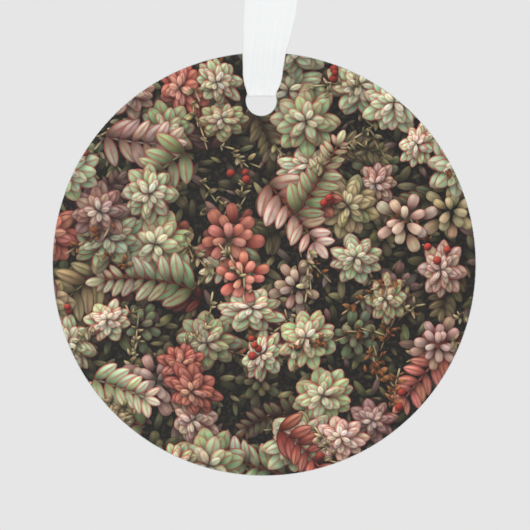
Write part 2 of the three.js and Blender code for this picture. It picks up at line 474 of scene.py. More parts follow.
@dataclass(frozen=True)
class WhiteSatin:
    """Woven polyester satin: bright, smooth, with a soft lengthwise lustre and a woven edge. The hollows
    between its thread floats carry painted shade: their colour is darker where the relief is low.
    """

    white: str = "#f6f8f8"
    # painted shade: the darker colour given to the hollows between the thread floats
    hollow_shade: str = "#e7eaea"
    glow_through: float = 0.1
    glow_depth: float = 0.8  # mm that light spreads inside the thin folded cloth
    roughness: float = 0.42
    ior: float = 1.5
    sheen: float = 0.15
    sheen_roughness: float = 0.4
    thread: float = 0.28  # mm; real threads are about 0.08 mm apart, drawn coarser to show
    thread_run: float = 14.286  # mm that a thread shows without a break
    thread_depth: float = 0.03  # mm
    weft_count: float = 2.2  # cross threads in the edge for each lengthwise one
    selvage: float = 0.55  # mm

    def material(self, half_width: float) -> bpy.types.Material:
        """Builds the finish.

        Args:
            half_width: half the ribbon's width in millimetres, where the woven edge ends.

        Returns:
            The material, which reads the ribbon's own map: millimetres across and along.
        """
        material, tree = new_material("white_polyester_satin")
        place = add_node(tree, "UVMap", {"uv_map": "cloth_mm"})
        pitch = (1 / self.thread, 1 / self.thread_run, 1)
        run = add_node(tree, "Mapping", {"Vector": place, "Scale": pitch})
        floats = add_node(tree, "TexNoise", {"Vector": run, "Scale": 1.0, "Detail": 3.0, "Roughness": 0.55})
        bands = {
            "wave_type": "BANDS",
            "bands_direction": "Y",
            "Vector": place,
            "Scale": self.weft_count / (self.thread * TURN),
            "Distortion": 1.5,
            "Detail": 1.0,
        }
        weft = add_node(tree, "TexWave", bands).outputs["Fac"]
        reach = add_node(tree, "SeparateXYZ", {0: place})
        reach = add_node(tree, "Math", {"operation": "ABSOLUTE", 0: reach})
        start, end = half_width - self.selvage, half_width - self.selvage * 0.5
        edge = add_node(tree, "MapRange", EASED | {0: reach, 1: start, 2: end, 3: 0.0, 4: 1.0})
        rib = add_node(tree, "Mix", {"data_type": "FLOAT", 0: edge, 2: floats, 3: weft})
        # painted shade: the thread noise that raises the relief also turns the colour from the darker hollows
        # to white
        tone = {0: floats, 6: rgba(self.hollow_shade), 7: rgba(self.white)}
        gloss = {"Value": floats, "To Min": self.roughness - 0.06, "To Max": self.roughness + 0.08}
        relief = {"Height": rib, "Strength": 0.4, "Distance": self.thread_depth * MM}
        shader = {
            "Base Color": add_node(tree, "Mix", COLOURS | tone),
            "Roughness": add_node(tree, "MapRange", gloss),
            "IOR": self.ior,
            "Subsurface Weight": self.glow_through,
            "Subsurface Radius": (1.0, 1.0, 1.0),
            "Subsurface Scale": self.glow_depth * MM,
            "Sheen Weight": self.sheen,
            "Sheen Roughness": self.sheen_roughness,
            "Normal": add_node(tree, "Bump", relief),
        }
        add_node(tree, "OutputMaterial", {"Surface": add_node(tree, "BsdfPrincipled", shader)})
        return material


@dataclass(frozen=True)
class PalePaper:
    """The plain backdrop paper on the table: pale grey, matt, with a trace of tooth."""

    tone: str = "#f3f3f3"
    roughness: float = 0.9
    tooth_count: float = 900.0  # in a metre; real paper has about 5000, drawn coarser as it lies far off
    tooth_depth: float = 0.1  # mm

    def material(self) -> bpy.types.Material:
        """Builds the finish.

        Returns:
            The material.
        """
        material, tree = new_material("pale_paper")
        place = add_node(tree, "TexCoord").outputs["Object"]
        tooth = add_node(tree, "TexNoise", {"Vector": place, "Scale": self.tooth_count, "Detail": 2.0})
        bump = add_node(tree, "Bump", {"Height": tooth, "Strength": 0.1, "Distance": self.tooth_depth * MM})
        shader = {"Base Color": rgba(self.tone), "Roughness": self.roughness, "Normal": bump}
        add_node(tree, "OutputMaterial", {"Surface": add_node(tree, "BsdfPrincipled", shader)})
        return material


@dataclass(frozen=True)
class Tint:
    """The colours of one kind of leaf, as hex codes: its base, its tip, its margin line and its heart."""

    base: str
    tip: str
    margin: str
    heart: str


class Growth(Enum):
    """The kinds of leaf in the drawing, by colour."""

    SAGE = Tint("#6c8052", "#abc28f", "#a3483f", "#d6ceb6")
    MINT = Tint("#869f6c", "#c3d9ac", "#aa4a42", "#dfdac6")
    DUSTY = Tint("#7d5a51", "#ba968a", "#7b352f", "#decbbd")
    BLUSH = Tint("#9d7765", "#dabfa9", "#9c443b", "#e8d8c8")
    CORAL = Tint("#9a3c31", "#d27f6b", "#75251f", "#e4b59c")
    OLIVE = Tint("#6a6744", "#a59f6f", "#77483a", "#cfc094")
    STRAW = Tint("#85724c", "#ccb788", "#5e4a30", "#e2d0a4")
    DIM = Tint("#2c2920", "#5a5439", "#3c3025", "#635b3f")
    RUST = Tint("#6f3f26", "#b26c3b", "#472819", "#ca8952")
    BERRY = Tint("#7d241f", "#c2483a", "#5a1917", "#de9580")


# Undergrowth: how many leaves, their least and most brightness, and their colours.
LITTER = (
    (560, 0.4, 1.5, Growth.DIM),
    (260, 0.28, 0.7, Growth.OLIVE),
    (150, 0.22, 0.5, Growth.DUSTY),
)
# The colours of the plants in turn: the dim ones below, and the bright ones on top.
LOW_MIX = tuple(Growth[name] for name in "SAGE DUSTY OLIVE CORAL STRAW OLIVE SAGE".split())
HIGH_MIX = tuple(Growth[name] for name in "SAGE MINT BLUSH CORAL MINT SAGE STRAW DUSTY MINT".split())
TUFTED = (Growth.CORAL, Growth.DUSTY, Growth.STRAW, Growth.BLUSH)


@dataclass(frozen=True)
class Cut:
    """How a leaf is cut and lined: how slowly it widens and closes, the width of its margin line in
    millimetres, the strength of its keel line, and how far its body leans to its margin's colour."""

    widen: float
    close: float
    margin: float
    keel: float = 0.0
    lean: float = 0.0


class Shape(Enum):
    """The leaf shapes in the drawing."""

    ROSETTE = Cut(0.85, 0.62, 0.26, 0.55)
    HEART = Cut(0.85, 0.62, 0.12, 0.55)
    STEM = Cut(0.12, 0.12, 0.06)
    LANCE = Cut(0.62, 0.62, 0.26, 0.65, 0.08)
    LANCE_TIP = Cut(0.7, 0.6, 0.2, 0.6, 0.08)
    PLUMP = Cut(0.6, 0.38, 0.12, 0.0, 0.12)
    STRAW = Cut(0.1, 0.1, 0.05)
    HUSK = Cut(0.5, 0.7, 0.07)
    BERRY = Cut(0.5, 0.5, 0.1)
    LOOSE = Cut(0.6, 0.6, 0.1)


@dataclass(frozen=True)
class Leaves:
    """Many leaf shapes as arrays with one row each, in the order in which they are laid down.

    A point of a leaf is base + t along + s across, with t from 0 to 1 and |s| up to the half width
    f(t) = t^p (1 - t)^q / norm.
    """

    base: Floats
    along: Floats
    across: Floats
    form: Floats
    light: Floats
    body: Floats
    tip: Floats
    margin: Floats
    keel: Floats

    @staticmethod
    def joined(batches: Sequence["Leaves"]) -> "Leaves":
        """All batches in one, the first lowest."""
        names = Leaves.__dataclass_fields__
        return Leaves(**{n: np.concatenate([getattr(b, n) for b in batches]) for n in names})

    def size(self) -> Floats:
        """How far each leaf can reach from its base: its length and its half width."""
        return np.linalg.norm(self.along, axis=1) + np.linalg.norm(self.across, axis=1)

    def mirrored(self) -> "Leaves":
        """The same leaves as seen from the other side: x turned to -x."""
        flip = np.array([-1.0, 1.0])
        return replace(self, base=self.base * flip, along=self.along * flip, across=self.across * flip)

    def kept(self, mask: NDArray[np.bool_]) -> "Leaves":
        """Only the leaves that the mask keeps."""
        return Leaves(**{n: getattr(self, n)[mask] for n in Leaves.__dataclass_fields__})


@dataclass
class LeafDrawing:
    """An all-over drawing of a planted tray: rosettes, leafy sprigs, tufts, berries and dry twigs in an
    even mix. Lengths are in millimetres and angles in radians."""

    reach: float = 40.0
    seed: int = 11
    sun: tuple[float, float] = (-0.45, 0.89)
    patch: float = 17.0
    waves_across: int = 9
    wave_gain: float = 2.6
    too_dark: float = -0.6
    ring_turn: float = 2.4  # about the golden angle
    leaf_turn: float = 2.39996  # the golden angle
    hue_change: float = 0.07
    tone_change: float = 0.08
    low_plants: int = 40
    low_twigs: int = 34
    plants: int = 76
    plant_bright: float = 1.15
    patch_bright: float = 0.48
    top_twigs: int = 24
    straw_length: float = 2.0
    husks_per_straw: int = 3
    berry_groups: int = 11

    def __post_init__(self) -> None:
        """Starts the seeded number source and picks the waves that make light and dark patches."""
        self.rng = np.random.default_rng(self.seed)
        angle = self.rng.random(self.waves_across) * TURN
        pitch = TURN / (self.patch * self.rng.uniform(0.8, 1.9, self.waves_across))
        self.waves = np.stack([np.cos(angle), np.sin(angle)]) * pitch
        self.phases = self.rng.random(self.waves_across) * TURN

    def lightness(self, place: Floats) -> float:
        """How light the drawing is at a place, from about -1 to 1: the mean of crossing waves, spread."""
        return float(np.clip(np.sin(place @ self.waves + self.phases).mean() * self.wave_gain, -1, 1))

    def heading(self) -> float:
        """A direction drawn from all round."""
        return self.rng.random() * 6.28

    def scatter(self, count: int, tries: int = 14) -> Floats:
        """Spreads points evenly over the round drawing: each new one is the try that lies farthest from
        the others.

        Args:
            count: how many points.
            tries: how many places are tried for each.

        Returns:
            One row of x and z each.
        """
        kept = np.zeros((0, 2))
        for _ in range(count):
            radius = self.reach * np.sqrt(self.rng.random(tries))
            options = towards(self.rng.random(tries) * TURN) * radius[:, None]
            best = 0
            if len(kept):
                best = np.argmax(np.linalg.norm(options[:, None] - kept[None], axis=2).min(1))
            kept = np.concatenate([kept, options[best][None]])
        return self.rng.permutation(kept)

    def batch(
        self,
        base: Floats,
        angle: Floats,
        length: Floats | float,
        width: Floats | float,
        shape: Shape,
        growth: Growth,
        bright: Floats | float,
        heart: Floats | float,
        tilt: Floats | None = None,
        lean: float = 0.0,
    ) -> Leaves:
        """Makes leaves from arrays of one number each, or one number for all.

        Args:
            base: where each leaf starts.
            angle: which way it points, in radians.
            length: its length.
            width: its full width.
            shape: how it is cut and lined.
            growth: its colours.
            bright: its brightness, 1 for as given.
            heart: how far its colour goes to the heart colour, from 0 to 1.
            tilt: a 2 x 2 matrix that foreshortens the whole plant, or None.
            lean: how much farther its body leans to its margin colour.

        Returns:
            The leaves.
        """
        cut, tint, n = shape.value, growth.value, len(base)
        given = (length, width, bright, heart)
        length, width, bright, heart = (np.broadcast_to(values, n)[:, None] for values in given)
        turn = np.eye(2) if tilt is None else tilt
        point = towards(angle)
        side = np.stack([-point[:, 1], point[:, 0]], 1)
        p, q = cut.widen, cut.close
        norm = (p + q) ** (p + q) / (p**p * q**q)
        sun = np.array(self.sun)
        hue = self.rng.normal(0, self.hue_change, (n, 3)) * np.array([1.0, 0.8, 0.9])
        gain = bright * (1 + hue + self.rng.normal(0, self.tone_change, (n, 1)))
        core = linear(tint.heart)
        body, tip = (linear(code) * (1 - heart) + core * heart for code in (tint.base, tint.tip))
        margin = linear(tint.margin) * (1 - heart * 0.5) + core * heart * 0.5
        body = body * (1 - cut.lean - lean) + linear(tint.margin) * (cut.lean + lean)
        return Leaves(
            base,
            (point * length) @ turn.T,
            (side * width / 2) @ turn.T,
            np.tile([p, q, norm], (n, 1)),
            np.stack([point @ sun, side @ sun, np.full(n, cut.margin)], 1),
            np.clip(body * gain, 0.002, 1),
            np.clip(tip * gain, 0.002, 1),
            np.clip(margin * bright, 0.002, 1),
            np.full((n, 1), cut.keel),
        )

    def rosette(self, centre: Floats, radius: float, growth: Growth, bright: float) -> Leaves:
        """A rosette of pointed leaves: rings that shrink and turn towards the middle, the innermost pale.

        A ring's share falls evenly from 1 at the outside to 0.2. Its leaves are 0.22 + 0.74 share of the
        radius long, and half as wide or a little more. The whole plant is squeezed along one axis and
        its middle moved along it, as if it leant.

        Args:
            centre: its middle.
            radius: the reach of its outer leaves.
            growth: its colours.
            bright: its brightness.

        Returns:
            Its leaves, the outer ring first.
        """
        rng = self.rng
        counts = (8, 7, 6, 5, 4) if radius > 4.2 else (7, 6, 5, 4)
        rings = len(counts)
        facing = rng.random() * np.pi
        squeeze = rng.uniform(0.66, 1.0)
        turn = np.array([[np.cos(facing), -np.sin(facing)], [np.sin(facing), np.cos(facing)]])
        tilt = turn @ np.diag([1.0, squeeze]) @ turn.T
        rise = turn @ np.array([0.0, 1.0]) * (1 - squeeze) * radius * 0.5
        parts = []
        start = rng.random() * TURN
        for k, n in enumerate(counts):
            share = 1 - 0.80 * k / (rings - 1)
            angle = start + self.ring_turn * k + TURN * (np.arange(n) + rng.normal(0, 0.06, n)) / n
            length = radius * (0.22 + 0.74 * share) * rng.uniform(0.9, 1.08, n)
            width = length * rng.uniform(0.50, 0.60, n)
            base = towards(angle) * (radius * 0.06 * share)
            order = rng.permutation(n)
            parts.append(
                self.batch(
                    (centre + base @ tilt.T + rise * k / rings)[order],
                    angle[order],
                    length[order],
                    width[order],
                    Shape.ROSETTE if k < rings - 1 else Shape.HEART,
                    growth,
                    bright * (0.74 + 0.36 * k / rings),
                    0.75 * max(0.0, k / (rings - 1) - 0.35),
                    tilt,
                    0.1 * rng.random(),
                )
            )
        return Leaves.joined(parts)

    def sprig(self, start: Floats, heading: float, growth: Growth, bright: float, size: float) -> Leaves:
        """A leafy shoot: a bending stem with lance leaves in pairs, smaller towards the tip.

        Each pair stands 0.42 of the leaf length beyond the last, less 4.5 % a pair, and its leaves are 7 %
        shorter a pair and stand 0.75 to 1.15 off the stem.

        Args:
            start: where the stem begins.
            heading: which way it sets off, in radians.
            growth: its colours.
            bright: its brightness.
            size: the length of its largest leaves.

        Returns:
            The stem's pieces and the leaves, from the bottom of the shoot to its tip.
        """
        rng = self.rng
        pairs = int(rng.integers(6, 10))
        k = np.arange(pairs)
        bend = heading + rng.uniform(-0.12, 0.12) * k
        step = size * 0.42 * (1 - 0.045 * k)
        path = start + np.cumsum(towards(bend) * step[:, None], 0)
        wood = Growth.RUST if rng.random() < 0.4 else growth
        below = path - towards(bend) * 0.2
        stem = self.batch(below, bend, step + 0.5, 0.42, Shape.STEM, wood, bright * 0.7, 0.0)
        side = np.tile([1.0, -1.0], pairs)
        twice = np.repeat(k, 2)
        angle = bend[twice] + side * rng.uniform(0.75, 1.15, 2 * pairs)
        length = size * (1 - 0.07 * twice) * rng.uniform(0.85, 1.1, 2 * pairs)
        leaves = self.batch(
            path[twice],
            angle,
            length,
            length * rng.uniform(0.40, 0.50, 2 * pairs),
            Shape.LANCE,
            growth,
            bright * (0.78 + 0.3 * twice / pairs),
            0.25 * twice / pairs,
        )
        tip = self.batch(
            path[-1:], bend[-1:], size * 0.6, size * 0.3, Shape.LANCE_TIP, growth, bright * 1.04, 0.25
        )
        return Leaves.joined([stem, leaves, tip])

    def tuft(self, centre: Floats, growth: Growth, bright: float, size: float) -> Leaves:
        """A tuft of short plump leaves that fan out from one point, the upper ones smaller and brighter.

        Args:
            centre: the middle of the tuft.
            growth: its colours.
            bright: its brightness.
            size: the length of its leaves.

        Returns:
            Its leaves, the lowest first.
        """
        rng = self.rng
        n = int(rng.integers(13, 19))
        k = np.arange(n) / n
        angle = self.heading() + np.arange(n) * self.leaf_turn
        base = centre + towards(angle) * (size * 0.75 * (1 - k))[:, None]
        length = size * (1.0 - 0.35 * k) * rng.uniform(0.9, 1.1, n)
        return self.batch(
            base,
            angle + rng.normal(0, 0.25, n),
            length,
            length * rng.uniform(0.55, 0.68, n),
            Shape.PLUMP,
            growth,
            bright * (0.66 + 0.46 * k),
            0.35 * k * k,
        )

    def twig(self, start: Floats, heading: float, bright: float, length: float) -> Leaves:
        """A dry twig: a crooked line of thin straws with little curled husks along it.

        Args:
            start: where it begins.
            heading: which way it goes, in radians.
            bright: its brightness.
            length: how long it is.

        Returns:
            The straws and husks.
        """
        rng = self.rng
        n = max(4, int(length / self.straw_length))
        bend = heading + np.cumsum(rng.normal(0, 0.28, n))
        path = start + np.cumsum(towards(bend) * (length / n), 0)
        thin = rng.uniform(0.28, 0.42, n)
        long, dry = length / n + 0.35, bright * 0.95
        straws = self.batch(path, bend, long, thin, Shape.STRAW, Growth.STRAW, dry, 0.1)
        m = n * self.husks_per_straw
        at = rng.integers(0, n, m)
        angle = bend[at] + rng.choice([-1.0, 1.0], m) * rng.uniform(0.5, 1.5, m)
        husk = rng.uniform(0.9, 1.9, m)
        husks = self.batch(
            path[at] + rng.normal(0, 0.35, (m, 2)),
            angle,
            husk,
            husk * rng.uniform(0.3, 0.55, m),
            Shape.HUSK,
            Growth.STRAW if rng.random() < 0.7 else Growth.RUST,
            bright * rng.uniform(0.5, 1.1, m),
            rng.random(m) * 0.4,
        )
        return Leaves.joined([straws, husks])

    def berries(self, centre: Floats, bright: float) -> Leaves:
        """A few round berries close together.

        Args:
            centre: the middle of the group.
            bright: their brightness.

        Returns:
            The berries.
        """
        n = int(self.rng.integers(2, 5))
        angle = np.full(n, math.atan2(self.sun[1], self.sun[0]))
        size = self.rng.uniform(1.1, 1.7, n)
        base = centre + self.rng.normal(0, 1.0, (n, 2))
        return self.batch(base, angle, size, size, Shape.BERRY, Growth.BERRY, bright, 0.0)

    def undergrowth(self, count: int, low: float, high: float, growth: Growth) -> Leaves:
        """Loose small leaves that fill the dark between the plants.

        Args:
            count: how many leaves.
            low: least brightness.
            high: most brightness.
            growth: their colours.

        Returns:
            The leaves, in no order.
        """
        rng = self.rng
        length = rng.uniform(1.8, 4.2, count)
        return self.batch(
            self.scatter(count, 4),
            rng.random(count) * TURN,
            length,
            length * rng.uniform(0.28, 0.48, count),
            Shape.LOOSE,
            growth,
            rng.uniform(low, high, count),
            rng.random(count) * 0.3,
        )

    def leaves(self) -> Leaves:
        """Lays the whole drawing down, from the dark undergrowth to the bright plants on top.

        Returns:
            Every leaf, the lowest first.
        """
        rng = self.rng
        batches = [self.undergrowth(*layer) for layer in LITTER]
        for i, place in enumerate(self.scatter(self.low_plants)):
            growth = LOW_MIX[i % len(LOW_MIX)]
            if i % 2:
                batches.append(self.sprig(place, self.heading(), growth, rng.uniform(0.28, 0.5), 4.2))
            else:
                batches.append(self.tuft(place, growth, rng.uniform(0.28, 0.52), 3.0))
        for place in self.scatter(self.low_twigs):
            batches.append(self.twig(place, self.heading(), rng.uniform(0.5, 1.0), rng.uniform(8, 16)))
        for i, place in enumerate(self.scatter(self.plants)):
            light = self.lightness(place)
            if light < self.too_dark:
                continue
            growth = HIGH_MIX[i % len(HIGH_MIX)]
            bright = self.plant_bright + self.patch_bright * light + rng.uniform(-0.14, 0.14)
            if i % 4 == 0:
                batches.append(self.sprig(place, self.heading(), growth, bright, rng.uniform(4.6, 6.4)))
            elif i % 4 == 1 and growth in TUFTED:
                batches.append(self.tuft(place, growth, bright, rng.uniform(3.0, 4.0)))
            else:
                batches.append(self.rosette(place, rng.uniform(4.2, 7.4), growth, bright))
        for place in self.scatter(self.top_twigs):
            batches.append(self.twig(place, self.heading(), rng.uniform(0.7, 1.15), rng.uniform(6, 12)))
        for place in self.scatter(self.berry_groups):
            batches.append(self.berries(place, rng.uniform(0.7, 1.1)))
        return Leaves.joined(batches)


@dataclass
class PrintedFilm:
    """The ink layer on one face of the disc: a thin closed skin whose outer side carries the drawing."""

    layout: Layout
    face: Face
    radius: float = 37.88
    hole_radius: float = 2.82
    inner_face: float = 1.505
    rim_sides: int = 256
    hole_sides: int = 96
    outline_steps: int = 8
    grid: float = 0.85
    ground: str = "#0f0c08"
    test_pitch: float = 0.16
    least_seen: int = 3
    shadow_shift: float = 0.35
    shadow_reach: float = 1.4
    shadow_strength: float = 0.5
    shadow_outer: float = 1.6
    shadow_inner: float = 0.8
    darkest: float = 0.14
    map_fill: float = 0.495
    small_scale: float = 0.06
    small_place: float = 0.072
    rim_spread: float = 1.12

    @property
    def steps(self) -> Floats:
        """The places from 0 to 1 along a leaf where its outline has points."""
        return (1 - np.cos(np.linspace(0, np.pi, self.outline_steps))) / 2

    @property
    def hole(self) -> Floats:
        """The hole's centre in the drawing's plane."""
        return np.array([self.layout.hole_x, self.layout.hole_z - self.layout.disc_z])

    def ring(self, centre: Floats, radius: float, sides: int) -> Floats:
        """Points evenly round a circle."""
        return centre + radius * towards(np.arange(sides) * TURN / sides)

    def within(self, points: Floats, centre: Floats, radius: float, sides: int) -> NDArray[np.bool_]:
        """Whether points lie inside the many-sided ring: their distance along the middle of their side's
        sector is under the side's own distance.

        Args:
            points: the places.
            centre: the ring's middle.
            radius: how far its corners lie out.
            sides: how many sides it has.

        Returns:
            True or false for each place.
        """
        offset = points - centre
        sector = TURN / sides
        angle = np.mod(np.arctan2(offset[:, 1], offset[:, 0]), sector) - sector / 2
        return np.hypot(*offset.T) * np.cos(angle) < radius * math.cos(sector / 2)

    def filled(
        self, points: Floats, lines: Ints, gap: float, traced: bool
    ) -> tuple[Floats, Ints, list[list[int]]]:
        """Joins flat points with triangles that keep the given lines.

        Args:
            points: the places.
            lines: pairs of point numbers, which stay edges.
            gap: how close two places are taken for one.
            traced: whether the sources of the points are wanted.

        Returns:
            The points, the triangles that lie on the face, and for each point the given ones it stands for.
        """
        places = [Vector(place) for place in points.tolist()]
        made, _, triangles, sources, *_ = geometry.delaunay_2d_cdt(places, lines.tolist(), [], 0, gap, traced)
        made = np.array([tuple(place) for place in made])
        triangles = np.array(triangles, dtype=np.int64)
        return made, triangles[self.on_face(made[triangles].mean(1))], sources

    def on_face(self, points: Floats) -> NDArray[np.bool_]:
        """Whether points lie inside the many-sided rim and outside the many-sided hole."""
        outside_hole = ~self.within(points, self.hole, self.hole_radius, self.hole_sides)
        return self.within(points, np.zeros(2), self.radius, self.rim_sides) & outside_hole

    def triangulate(self, extra: Floats, edges: Ints) -> tuple[Floats, Ints]:
        """Fills the face with triangles that follow the given lines.

        Args:
            extra: further points.
            edges: pairs of numbers of the further points, which become edges of triangles.

        Returns:
            The points and the triangles between the rim and the hole.
        """
        rim = self.ring(np.zeros(2), self.radius, self.rim_sides)
        hole = self.ring(self.hole, self.hole_radius, self.hole_sides)
        points = np.concatenate([rim, hole, extra])
        first, second = np.arange(len(rim)), np.arange(len(hole))
        first = np.stack([first, np.roll(first, -1)], 1)
        second = np.stack([second, np.roll(second, -1)], 1) + len(rim)
        lines = np.concatenate([first, second, edges + len(rim) + len(hole)])
        made, triangles, _ = self.filled(points, lines, 1e-6, False)
        used, renumbered = np.unique(triangles, return_inverse=True)
        return made[used], renumbered.reshape(-1, 3)

    def outline(self, leaves: Leaves) -> tuple[Floats, Ints]:
        """The outlines of all leaves: t runs evenly in cosine from base to tip and back, at |s| = f(t).

        Args:
            leaves: all leaves.

        Returns:
            The outline points and the edges between them.
        """
        half = self.half_width(leaves, np.tile(self.steps, (len(leaves.base), 1)))
        there = leaves.base[:, None] + self.steps[None, :, None] * leaves.along[:, None]
        upper = there + half[..., None] * leaves.across[:, None]
        lower = (there - half[..., None] * leaves.across[:, None])[:, -2:0:-1]
        ring = np.concatenate([upper, lower], 1)
        n, m = ring.shape[:2]
        number = np.arange(n * m).reshape(n, m)
        edges = np.stack([number, np.roll(number, -1, axis=1)], 2).reshape(-1, 2)
        return ring.reshape(-1, 2), edges

    def half_width(self, leaves: Leaves, t: Floats) -> Floats:
        """f(t) of each leaf, one row each."""
        p, q, norm = (leaves.form[:, i : i + 1] for i in range(3))
        return np.clip(t, 0, 1) ** p * np.clip(1 - t, 0, 1) ** q * norm

    def local(self, leaves: Leaves, which: Ints | int, points: Floats) -> tuple[Floats, Floats]:
        """Turns places into t and s of a leaf, by solving base + t along + s across = point.

        Args:
            leaves: all leaves.
            which: one leaf for all points, or one per point.
            points: the places.

        Returns:
            t and s.
        """
        a, b, offset = leaves.along[which], leaves.across[which], points - leaves.base[which]
        cross = a[..., 0] * b[..., 1] - a[..., 1] * b[..., 0]
        t = (offset[..., 0] * b[..., 1] - offset[..., 1] * b[..., 0]) / cross
        s = (a[..., 0] * offset[..., 1] - a[..., 1] * offset[..., 0]) / cross
        return t, s

    def close_by(self, points: Floats, centres: Floats, reach: Floats) -> Iterator[tuple[int, Ints]]:
        """Finds the places near each leaf.

        Args:
            points: the places.
            centres: one place per leaf.
            reach: how far each leaf reaches along either axis.

        Returns:
            Each leaf's number, with the numbers of the places within its reach.
        """
        order = np.argsort(points[:, 0])
        sorted_x = points[order, 0]
        lows = np.searchsorted(sorted_x, centres[:, 0] - reach)
        highs = np.searchsorted(sorted_x, centres[:, 0] + reach)
        for i in range(len(centres)):
            near = order[lows[i] : highs[i]]
            yield i, near[np.abs(points[near, 1] - centres[i, 1]) < reach[i]]

    def owners(self, leaves: Leaves, middle: Floats) -> Ints:
        """The topmost leaf over each place, or -1 for the ground.

        Args:
            leaves: all leaves, the lowest first.
            middle: the places, which lie in no outline.

        Returns:
            A leaf number for each place.
        """
        owner = np.full(len(middle), -1)
        halves = self.half_width(leaves, np.tile(self.steps, (len(leaves.base), 1)))
        for i, near in self.close_by(middle, leaves.base, leaves.size()):
            t, s = self.local(leaves, i, middle[near])
            inside = (t > 0) & (t < 1) & (np.abs(s) < np.interp(t, self.steps, halves[i]))
            owner[near[inside]] = i
        return owner

    def shadows(self, leaves: Leaves, points: Floats, owner: Ints, sun: Floats) -> Floats:
        """How dark the leaves above make each place: every leaf on top, moved away from the sun, takes
        light from what lies under its soft, slightly wider outline.

        Args:
            leaves: all leaves.
            points: the places.
            owner: the leaf that each place belongs to.
            sun: the direction of the light in the plane.

        Returns:
            A factor per place, from the darkest allowed to 1.
        """
        factor = np.ones(len(points))
        shift = sun * self.shadow_shift
        for i, near in self.close_by(points, leaves.base - shift, leaves.size() * self.shadow_reach):
            near = near[owner[near] < i]
            t, s = self.local(leaves, i, points[near] + shift)
            away = np.hypot(2 * t - 1, s)
            factor[near] *= 1 - self.shadow_strength * smooth(self.shadow_outer, self.shadow_inner, away)
        return np.maximum(factor, self.darkest)

    def mesh_grid(self, pitch: float, inset: float) -> Floats:
        """Places on an even square grid.

        Args:
            pitch: the distance between neighbours.
            inset: how far inside the rim the grid ends.

        Returns:
            One row of x and z each.
        """
        axis = np.arange(-self.radius, self.radius, pitch)
        grid = np.stack(np.meshgrid(axis, axis), -1).reshape(-1, 2)
        return grid[np.hypot(*grid.T) < self.radius - inset]

    def seen(self, leaves: Leaves) -> NDArray[np.bool_]:
        """Which leaves show anywhere, tested on an even grid of places."""
        owner = self.owners(leaves, self.mesh_grid(self.test_pitch, 0.0))
        return np.bincount(owner + 1, minlength=len(leaves.base) + 1)[1:] > self.least_seen

    def build(self, drawing: Leaves, sun: tuple[float, float]) -> bpy.types.Object:
        """Builds the skin and writes the drawing into its face corners.

        Args:
            drawing: the leaves as seen from the front.
            sun: the direction of the light in the drawing.

        Returns:
            The finished mesh object, without its material.
        """
        front = self.face is Face.FRONT
        leaves = drawing if front else drawing.mirrored()
        light = np.array(sun) * (1 if front else np.array([-1, 1]))
        leaves = leaves.kept(self.seen(leaves))
        ring, edges = self.outline(leaves)
        grid = self.mesh_grid(self.grid, 0.2)
        flat, triangles = self.triangulate(np.concatenate([ring, grid]), edges)
        owner = self.owners(leaves, flat[triangles].mean(1))
        points, faces = self.solid(flat, triangles)
        piece = make_piece(f"{self.face.name.lower()}_printed_film", points, faces, False)
        self.colour(piece, leaves, flat, owner, light)
        return piece

    def solid(self, flat: Floats, triangles: Ints) -> tuple[Floats, list[Ints]]:
        """Closes the drawn face to a thin skin with a plain inner face and narrow rims.

        Args:
            flat: points of the drawn face in its plane.
            triangles: its triangles.

        Returns:
            All points, and the faces: the drawn ones first, then the inner ones, then the rims.
        """
        sides = np.concatenate([triangles[:, [0, 1]], triangles[:, [1, 2]], triangles[:, [2, 0]]])
        _, first, count = np.unique(np.sort(sides, 1), axis=0, return_index=True, return_counts=True)
        border = sides[first[count == 1]]
        ids = np.unique(border)
        number = np.full(len(flat), -1)
        number[ids] = np.arange(len(ids))
        rim = number[border]
        _, inner, sources = self.filled(flat[ids], rim, 1e-7, True)
        inner = np.array([given[0] for given in sources])[inner] + len(flat)
        rims = np.concatenate([border[:, ::-1], rim + len(flat)], 1)
        side, lift = self.face.value, self.layout.disc_z
        outer = np.stack([flat[:, 0], np.full(len(flat), side * self.layout.film_face), flat[:, 1] + lift], 1)
        under = np.stack([flat[ids, 0], np.full(len(ids), side * self.inner_face), flat[ids, 1] + lift], 1)
        points = np.concatenate([outer, under])
        return points, outward(points, [triangles, inner[:, ::-1], rims])

    def colour(
        self, piece: bpy.types.Object, leaves: Leaves, flat: Floats, owner: Ints, light: Floats
    ) -> None:
        """Writes the drawing into the mesh's face corners, and lays out the baking map.

        Args:
            piece: the mesh object.
            leaves: the leaves that show.
            flat: points of the drawn face in its plane.
            owner: the leaf of each drawn triangle, or -1.
            light: the direction of the light.
        """
        mesh = piece.data
        corners = np.zeros(len(mesh.loops), np.int32)
        mesh.loops.foreach_get("vertex_index", corners)
        drawn = 3 * len(owner)
        where = flat[corners[:drawn]]
        who = np.repeat(owner, 3)
        covered = who >= 0
        t, s = self.local(leaves, np.maximum(who, 0), where)
        half = np.linalg.norm(leaves.across, axis=1)[who]
        body = np.concatenate([leaves.body, leaves.keel], 1)[who]
        tip, margin = (np.insert(colour, 3, 1, 1)[who] for colour in (leaves.tip, leaves.margin))
        ground = linear(self.ground)
        carried = {
            "leaf_place": (np.stack([t, s, half], 1), [0.5, 0.0, 0.0]),
            "leaf_form": (leaves.form[who], [1.0, 1.0, 4.0]),
            "leaf_light": (leaves.light[who], [0.0, 0.0, 0.1]),
            "leaf_body": (body, [*ground, 0.0]),
            "leaf_tip": (tip, [*ground, 1.0]),
            "leaf_margin": (margin, [*ground, 1.0]),
        }
        kinds = {3: ("FLOAT_VECTOR", "vector"), 4: ("FLOAT_COLOR", "color")}
        for name, (values, elsewhere) in carried.items():
            full = np.tile(elsewhere, (len(corners), 1))
            full[:drawn][covered] = values[covered]
            kind, part = kinds[len(elsewhere)]
            layer = mesh.attributes.new(name, kind, "CORNER")
